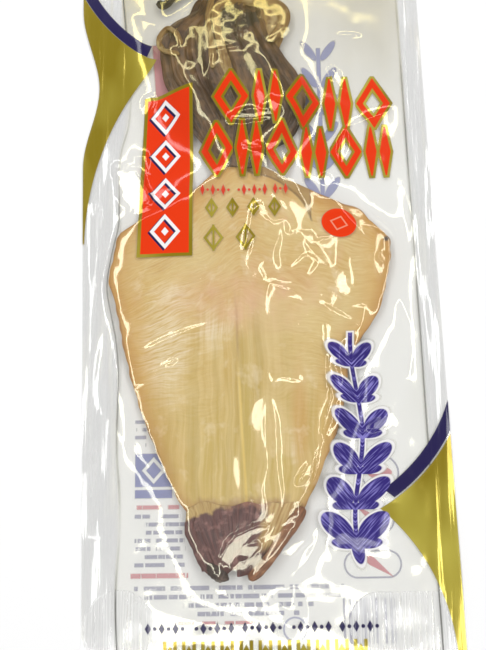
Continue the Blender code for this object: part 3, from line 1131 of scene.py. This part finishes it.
FINE_WRINKLES = (
    ((0.002, 0.051), (-0.003, 0.047), (-0.006, 0.036), (-0.010, 0.021)),
    ((-0.001, 0.045), (-0.003, 0.031), (-0.005, 0.021), (-0.007, 0.015), (-0.004, 0.005)),
    ((0.007, 0.057), (0.014, 0.052), (0.018, 0.046), (0.021, 0.040), (0.022, 0.034)),
    ((0.012, 0.040), (0.011, 0.028), (0.008, 0.019), (0.009, 0.013), (0.011, 0.010)),
    ((0.014, 0.041), (0.017, 0.031), (0.019, 0.031), (0.021, 0.036)),
    ((0.008, 0.019), (0.003, 0.014), (-0.002, 0.011)),
    ((0.028, 0.033), (0.027, 0.026), (0.031, 0.020), (0.036, 0.015), (0.042, 0.011)),
    ((0.029, 0.034), (0.034, 0.024), (0.040, 0.017), (0.043, 0.011)),
    ((0.029, 0.020), (0.022, 0.014), (0.018, 0.010), (0.017, 0.006)),
    ((0.025, 0.019), (0.029, 0.016), (0.034, 0.013)),
    ((0.002, 0.003), (0.007, 0.005), (0.014, 0.003), (0.020, 0.002), (0.023, -0.004)),
    ((0.005, 0.001), (0.013, -0.002), (0.019, -0.004)),
    ((0.032, 0.003), (0.037, 0.000), (0.041, -0.006), (0.042, -0.011)),
    ((0.024, -0.006), (0.035, -0.005), (0.042, -0.011)),
    ((0.011, -0.012), (0.014, -0.009), (0.020, -0.009), (0.026, -0.012), (0.032, -0.015), (0.040, -0.018)),
    ((0.013, -0.012), (0.020, -0.014), (0.025, -0.018), (0.021, -0.026), (0.026, -0.026)),
    ((0.048, 0.048), (0.058, 0.035), (0.063, 0.027), (0.067, 0.020)),
    ((0.069, 0.039), (0.072, 0.033), (0.073, 0.026), (0.071, 0.018), (0.071, 0.013)),
    ((0.005, -0.057), (0.011, -0.054), (0.017, -0.055), (0.027, -0.058)),
    ((-0.019, 0.104), (-0.005, 0.107), (0.013, 0.102)),
    ((-0.006, 0.090), (0.004, 0.083), (0.012, 0.087)),
    ((-0.051, 0.161), (-0.049, 0.155), (-0.047, 0.148)),
    ((-0.059, 0.157), (-0.056, 0.151), (-0.049, 0.147)),
    ((-0.083, 0.072), (-0.070, 0.068), (-0.066, 0.054)),
    ((-0.078, 0.086), (-0.072, 0.074), (-0.076, 0.056)),
    ((-0.075, -0.040), (-0.052, -0.030), (-0.030, -0.022)),
    ((-0.078, 0.176), (-0.062, 0.170)),
    ((-0.030, 0.144), (-0.024, 0.142)),
    ((-0.012, 0.150), (-0.011, 0.145)),
)

# Taut flats in the front film: (x, y), half its length and width, its turn, and the lamp that it faces.
FLATS = (
    ((-0.0760, 0.0610), (0.0160, 0.0082), -64.0, "left_strip"),
    ((0.0410, 0.0670), (0.0045, 0.0030), -50.0, "right_strip"),
    ((0.0515, 0.0870), (0.0110, 0.0026), 86.0, "right_strip"),
    ((0.0500, 0.1327), (0.0070, 0.0030), -62.0, "right_strip"),
    ((0.0180, 0.1600), (0.0060, 0.0030), 52.0, "right_strip"),
    ((-0.0490, 0.1545), (0.0060, 0.0020), -74.0, "left_strip"),
    ((-0.0670, 0.1170), (0.0065, 0.0036), 66.0, "left_strip"),
    ((-0.0040, 0.1030), (0.0140, 0.0026), 5.0, "far_strip"),
    ((-0.0040, 0.0862), (0.0070, 0.0024), -16.0, "far_strip"),
    ((-0.0190, -0.1505), (0.0072, 0.0052), 62.0, "near_strip"),
    ((-0.0105, -0.1420), (0.0100, 0.0038), 22.0, "near_strip"),
    ((-0.0085, -0.1500), (0.0072, 0.0032), 30.0, "near_strip"),
    ((0.0160, -0.1490), (0.0085, 0.0028), 30.0, "right_strip"),
    ((-0.0260, -0.1715), (0.0055, 0.0028), -25.0, "near_strip"),
    ((0.0685, -0.0800), (0.0085, 0.0034), 18.0, "right_strip"),
    ((0.0235, -0.1080), (0.0065, 0.0026), 52.0, "right_strip"),
    ((0.0530, 0.0070), (0.0095, 0.0017), -84.0, "right_strip"),
    ((0.0715, 0.0150), (0.0036, 0.0022), -70.0, "right_strip"),
    ((0.0378, -0.0300), (0.0065, 0.0020), -86.0, "right_strip"),
    ((0.0392, -0.0500), (0.0130, 0.0016), 90.0, "right_strip"),
    ((0.0372, -0.0740), (0.0110, 0.0018), 72.0, "right_strip"),
    ((0.0312, -0.0990), (0.0130, 0.0016), 74.0, "right_strip"),
    ((0.0560, 0.1620), (0.0085, 0.0014), -4.0, "far_strip"),
    ((-0.0350, 0.0050), (0.0026, 0.0012), 80.0, "left_strip"),
    ((-0.0260, -0.0050), (0.0036, 0.0011), 76.0, "left_strip"),
    ((-0.0036, -0.0146), (0.0016, 0.0014), 0.0, "right_strip"),
    ((-0.0560, -0.0450), (0.0060, 0.0016), 12.0, "left_strip"),
    ((-0.0970, 0.0400), (0.0085, 0.0018), 84.0, "left_strip"),
)


def film_finish(name, inks, clear, hills=True):
    """Clear glossy film: milky where it is sealed, inked where it is printed.

    Clear is its cover where it is bare; hills adds the ribbed round ends of the foot's seal.
    """
    f = Finish(name)
    flat = f.point(f.x, f.y)
    seal = f.stored("seal")
    haze = f.noise(f.point(f.x * 30.0, f.y * 9.0), 1.0, 3.0)
    # The cover also rises towards the top, which darkens the bare film there and strengthens its painted
    # warm reflection.
    cover = f.clamped(haze, clear * 1.2, clear * 0.4) + f.clamped(f.y, 0.66, -0.055)
    streaks = f.noise(f.point(f.x * 190.0, f.y * 14.0, 6.0), 1.0, 2.0)
    milk = f.clamped(seal, -700.0, 0.0) * f.clamped(streaks, 0.45, -0.06)
    hill = f.least(f.disc(flat, (-0.081, -0.190), 0.0195),
                   f.capsule(flat, (0.062, -0.190), (0.100, -0.190), 0.0165))
    ticks = f.noise(f.point(f.x * 620.0, f.y * 22.0), 1.0, 1.0)
    if hills:
        milk = f.most(milk, f.ink(hill, 0.0010) * f.clamped(ticks, 1.6, -0.46))
        # A thin dark grey line painted along the inner edge of the seals: painted shade of the film's fold
        # there.
        edge = f.clamped(abs(seal), -1500.0, 1.3) * f.clamped(haze, 4.0, -1.1)
    cover = f.most(cover, milk + clear)
    # Towards the top the bare film takes the painted warm reflection tint.
    colour = f.mixed(f.clamped(f.y, 8.0, -0.5), CLEAR, TOP_REFLECTION_TINT)
    colour = f.mixed(f.clamped(milk, 7.0), colour, MILKY)
    sheen = f.clamped(milk, -3.4, 0.9)
    if hills:
        # The painted fold shade darkens the film, covers more and takes away its sheen.
        colour = f.mixed(edge, colour, tint(96, 96, 90))
        cover = cover + edge * 0.55
        sheen = sheen * (1.0 - edge)
    for where, ink, thickness, shine in inks(f, flat):
        colour = f.mixed(where, colour, ink)
        cover = cover + where * (thickness - cover)
        sheen = sheen + where * (shine - sheen)
    crinkle = f.noise(f.place, 90.0, 2.0)
    ribs = f.node("ShaderNodeMath", {"operation": "SINE"}, f.x * 3900.0)
    ribs = ribs * f.clamped(abs(f.y), 900.0, -190.3)
    f.relief(crinkle * 0.25 + ticks * f.clamped(milk, 4.0) * 0.5 + ribs * 0.4, 0.0004, 0.6)
    f.set(Base_Color=colour, Metallic=sheen, Roughness=0.11, Specular_IOR_Level=0.45)
    f.see_through(cover)
    return f.material


def film_grid(name, cell):
    """A flat grid as wide and long as the pouch.

    With it come each point's x and y, how far it is inside the seals, the order that puts the points
    in rows, and the shape of those rows.
    """
    columns, rows = round(PACK_WIDTH / cell), round(PACK_LENGTH / cell)
    film = added_grid(name, columns, rows)
    flat = points_of(film)
    across, along = flat[:, 0] + 0.5, flat[:, 1] + 0.5
    y = LOW.y + along * PACK_LENGTH
    left, right = side_x(-1, y), side_x(1, y)
    x = left + across * (right - left)
    inside = np.minimum(x - through(SEAL_LINE)(y), right - RIGHT_SEAL - x)
    inside = np.minimum(inside, PACK_LENGTH / 2 - END_SEAL - np.abs(y))
    order = np.lexsort((np.round(across, 5), np.round(along, 5)))
    write_number(film, "seal", inside)
    return film, x, y, inside, order, (rows + 1, columns + 1)


def contents_height(pieces, x, y):
    """Height of the highest content under each point, or 0."""
    corners, faces = [], []
    for piece in pieces:
        offset = len(corners)
        corners.extend(vertex.co.copy() for vertex in piece.data.vertices)
        faces.extend([offset + k for k in face.vertices] for face in piece.data.polygons)
    tree = BVHTree.FromPolygons(corners, faces)
    down = Vector((0.0, 0.0, -1.0))
    heights = np.zeros_like(x)
    for k, spot in enumerate(zip(x, y)):
        hit = tree.ray_cast(Vector((*spot, 1.0)), down)[0]
        if hit is not None:
            heights[k] = hit.z
    return heights


def draped(floor, fixed, rounds):
    """A film drawn tight over a floor of heights, and held down where it is fixed."""
    film = floor.copy()
    for _ in range(rounds):
        middle = (film[1:-1, :-2] + film[1:-1, 2:] + film[:-2, 1:-1] + film[2:, 1:-1]) / 4.0
        film[1:-1, 1:-1] = np.maximum(floor[1:-1, 1:-1], middle)
        film[fixed] = floor[fixed]
    return film


def crease(x, y, path, tall, steep, lean):
    """A crease along a path: steep on its right, leaning gently on its left, fading towards its ends."""
    steps = np.linalg.norm(np.diff(path, axis=0), axis=1)
    waver = 1.0 + 0.16 * ripples(x, y, 0.011, 27)
    least = np.full(x.shape, np.inf)
    height = np.zeros_like(x)
    done = 0.0
    for start, end, step in zip(path[:-1], path[1:], steps):
        way = (end - start) / step
        right, up = x - start[0], y - start[1]
        forward = np.clip(right * way[0] + up * way[1], 0.0, step)
        away = np.hypot(right - forward * way[0], up - forward * way[1])
        crest = tall * np.sin(math.pi * (done + forward) / steps.sum()).clip(0.0, 1.0) ** 0.5
        right_flank = crest * np.exp(-away / (steep * waver))
        left_flank = (crest - lean * away).clip(0.0)
        flank = np.where(right * way[1] > up * way[0], right_flank, left_flank)
        height = np.where(away < least, flank, height)
        least = np.minimum(least, away)
        done += step
    return height


def wrinkled(x, y):
    """Sharp creases along the film's wrinkles; where two meet, the smaller one still shows."""
    height = np.zeros_like(x)
    draw = np.random.default_rng(12)
    for paths, finest, coarsest in ((LONG_WRINKLES, 0.0026, 0.0046), (FINE_WRINKLES, 0.0018, 0.0028)):
        for path in paths:
            path = smooth_path(path, 6 * len(path))
            if draw.uniform() < 0.5:
                path = path[::-1]
            steep = draw.uniform(finest, coarsest)
            tall = steep * draw.uniform(0.58, 0.70)
            low, high = path.min(axis=0) - CREASE_REACH, path.max(axis=0) + CREASE_REACH
            near = (x > low[0]) & (x < high[0]) & (y > low[1]) & (y < high[1])
            crest = crease(x[near], y[near], path, tall, steep, CREASE_LEAN)
            height[near] = np.maximum(height[near], crest) + 0.3 * np.minimum(height[near], crest)
    return height


def softened(height, rounds):
    """A film with its small bumps evened out."""
    for _ in range(rounds):
        around = height[1:-1, :-2] + height[1:-1, 2:] + height[:-2, 1:-1] + height[2:, 1:-1]
        height[1:-1, 1:-1] = (4.0 * height[1:-1, 1:-1] + around) / 8.0
    return height


def facing(spot, lamp):
    """The slopes of a flat that turns a lamp's light towards the eye."""
    spot = Vector((*spot, 0.004))
    halfway = (camera_place() - spot).normalized() + (Vector(STRIPS[lamp][0]) - spot).normalized()
    return -halfway.x / halfway.z, -halfway.y / halfway.z


def flattened(x, y, height):
    """The film with its taut flats, each a leaning plane with a ragged border."""
    ragged = 0.14 * ripples(x, y, 0.009, 25) + 0.08 * ripples(x, y, 0.004, 26)
    for spot, half, turn, lamp in FLATS:
        turn = math.radians(turn)
        right, up = x - spot[0], y - spot[1]
        along = right * math.cos(turn) + up * math.sin(turn)
        aside = up * math.cos(turn) - right * math.sin(turn)
        reach = np.hypot(along / half[0], aside / half[1]) + ragged
        share = smooth((1.30 - reach) / 0.45)
        slopes = facing(spot, lamp)
        rise = right * slopes[0] + up * slopes[1]
        plane = (height - rise)[reach < 0.8].max() + rise
        height = height + share * 0.94 * (plane - height)
    return height


def make_front_film(contents, suckers):
    """The printed film, drawn over the squid, creased, and sealed down all round."""
    film, x, y, inside, order, shape = film_grid("front_film", FILM_CELL)
    floor = np.maximum(contents_height(contents, x, y) + FILM_GAP, BACK_FILM_Z + LEAST_AIR)
    fixed = inside < 0.0
    floor[fixed] = SEALED_Z
    height = np.empty_like(x)
    tight = draped(floor[order].reshape(shape), fixed[order].reshape(shape), DRAPE_ROUNDS)
    height[order] = softened(tight, SOFT_ROUNDS).ravel()
    slack = smooth(inside / 0.012)
    height += np.maximum(slack, 0.3) * wrinkled(x, y)
    calm = 1.0 - 0.7 * smooth((y - 0.110) / 0.030)
    height += slack * calm * (0.00034 * ripples(x, y, 0.030, 21) + 0.00008 * ripples(x, y, 0.011, 22))
    over_arms = smooth((y - 0.085) / 0.02) * smooth((floor - 0.004) / 0.003)
    height += over_arms * 0.00009 * ripples(x, y, 0.010, 28)
    height = flattened(x, y, height)
    strip = smooth((x - side_x(-1, y)) / 0.004) * smooth(-inside / 0.004)
    strip = strip * (1.0 - 0.7 * smooth((y - 0.07) / 0.03))
    height += strip * 0.00026 * ripples(x * 2.0, y * 0.35, 0.020, 23)
    floor = np.maximum(floor - FILM_GAP, contents_height([suckers], x, y))
    height = np.maximum(height, np.where(fixed, SEALED_LEAST, floor + CLOSEST))
    put_points(film, np.stack((x, y, height), axis=1))
    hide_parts(NODE)
    return finished(film, film_finish("front_print_film", front_inks, BARE_COVER["front"]), 180.0)


def make_back_film():
    """The film that the squid lies on, printed on its outside."""
    film, x, y, inside, _, _ = film_grid("back_film", BACK_CELL)
    rise = 0.00012 * ripples(x, y, 0.030, 24) * smooth(inside / 0.02)
    put_points(film, np.stack((x, y, BACK_FILM_Z + rise), axis=1))
    finish = film_finish("back_print_film", back_inks, BARE_COVER["back"], False)
    return finished(film, finish, 180.0)


# ---------------------------------------------------------------- camera, floor and light

CAMERA_TARGET = Vector((-0.01073, -0.022, 0.0))
CAMERA_DISTANCE = 0.5287
CAMERA_ELEVATION = math.radians(78.33)
CAMERA_TURN = math.radians(0.8)
LENS = 50.0


def camera_place():
    """Where the camera stands: above the foot of the pouch."""
    heading = Vector((math.sin(CAMERA_TURN), math.cos(CAMERA_TURN), 0.0))
    look = heading * math.cos(CAMERA_ELEVATION) - Vector((0.0, 0.0, math.sin(CAMERA_ELEVATION)))
    return CAMERA_TARGET - look * CAMERA_DISTANCE


def make_camera():
    """A camera that looks down on the pouch."""
    camera = bpy.data.objects.new("camera", bpy.data.cameras.new("camera"))
    camera.data.lens = LENS
    camera.location = camera_place()
    camera.rotation_euler = (math.pi / 2 - CAMERA_ELEVATION, 0.0, -CAMERA_TURN)
    bpy.context.scene.collection.objects.link(camera)
    bpy.context.scene.camera = camera


def make_floor():
    """A plain white floor."""
    select_none()
    bpy.ops.mesh.primitive_plane_add(size=8.0, location=(0.0, 0.0, -0.0002))
    floor = bpy.context.object
    floor.name = "floor"
    f = Finish("floor_white")
    f.set(Base_Color=(0.9, 0.9, 0.9, 1.0), Roughness=0.9)
    floor.data.materials.append(f.material)


STRIP_WIDTH = 0.24
STRIP_POWER = 4.9          # for each metre of a lamp's length
STRIPS = {
    "left_strip": ((-0.62, 0.34, 1.3), 90.0, 1.68),
    "right_strip": ((0.62, 0.34, 1.3), 90.0, 1.68),
    "far_strip": ((0.0, 1.18, 1.3), 0.0, 1.24),
    "near_strip": ((0.0, -0.50, 1.3), 0.0, 1.24),
}


def make_strip_lamp(name, place, turn, length):
    """A long narrow soft lamp over one side of the pouch, which glints as a line on a crease."""
    lamp = bpy.data.objects.new(name, bpy.data.lights.new(name, "AREA"))
    lamp.data.shape = "RECTANGLE"
    lamp.data.size = length
    lamp.data.size_y = STRIP_WIDTH
    lamp.data.energy = STRIP_POWER * length
    lamp.location = place
    lamp.rotation_euler = (0.0, 0.0, math.radians(turn))
    bpy.context.scene.collection.objects.link(lamp)


def make_light():
    """Pale surroundings and a soft strip lamp over each side of the pouch."""
    world = bpy.data.worlds.new("surroundings")
    world.use_nodes = True
    world.node_tree.nodes["Background"].inputs["Color"].default_value = (1.0, 1.0, 1.0, 1.0)
    world.node_tree.nodes["Background"].inputs["Strength"].default_value = 0.28
    bpy.context.scene.world = world
    for name, (place, turn, length) in STRIPS.items():
        make_strip_lamp(name, place, turn, length)
    bpy.context.scene.view_settings.view_transform = "Standard"


make_camera()
make_floor()
make_light()
squid, suckers = make_contents()
make_back_film()
make_front_film(squid, suckers)
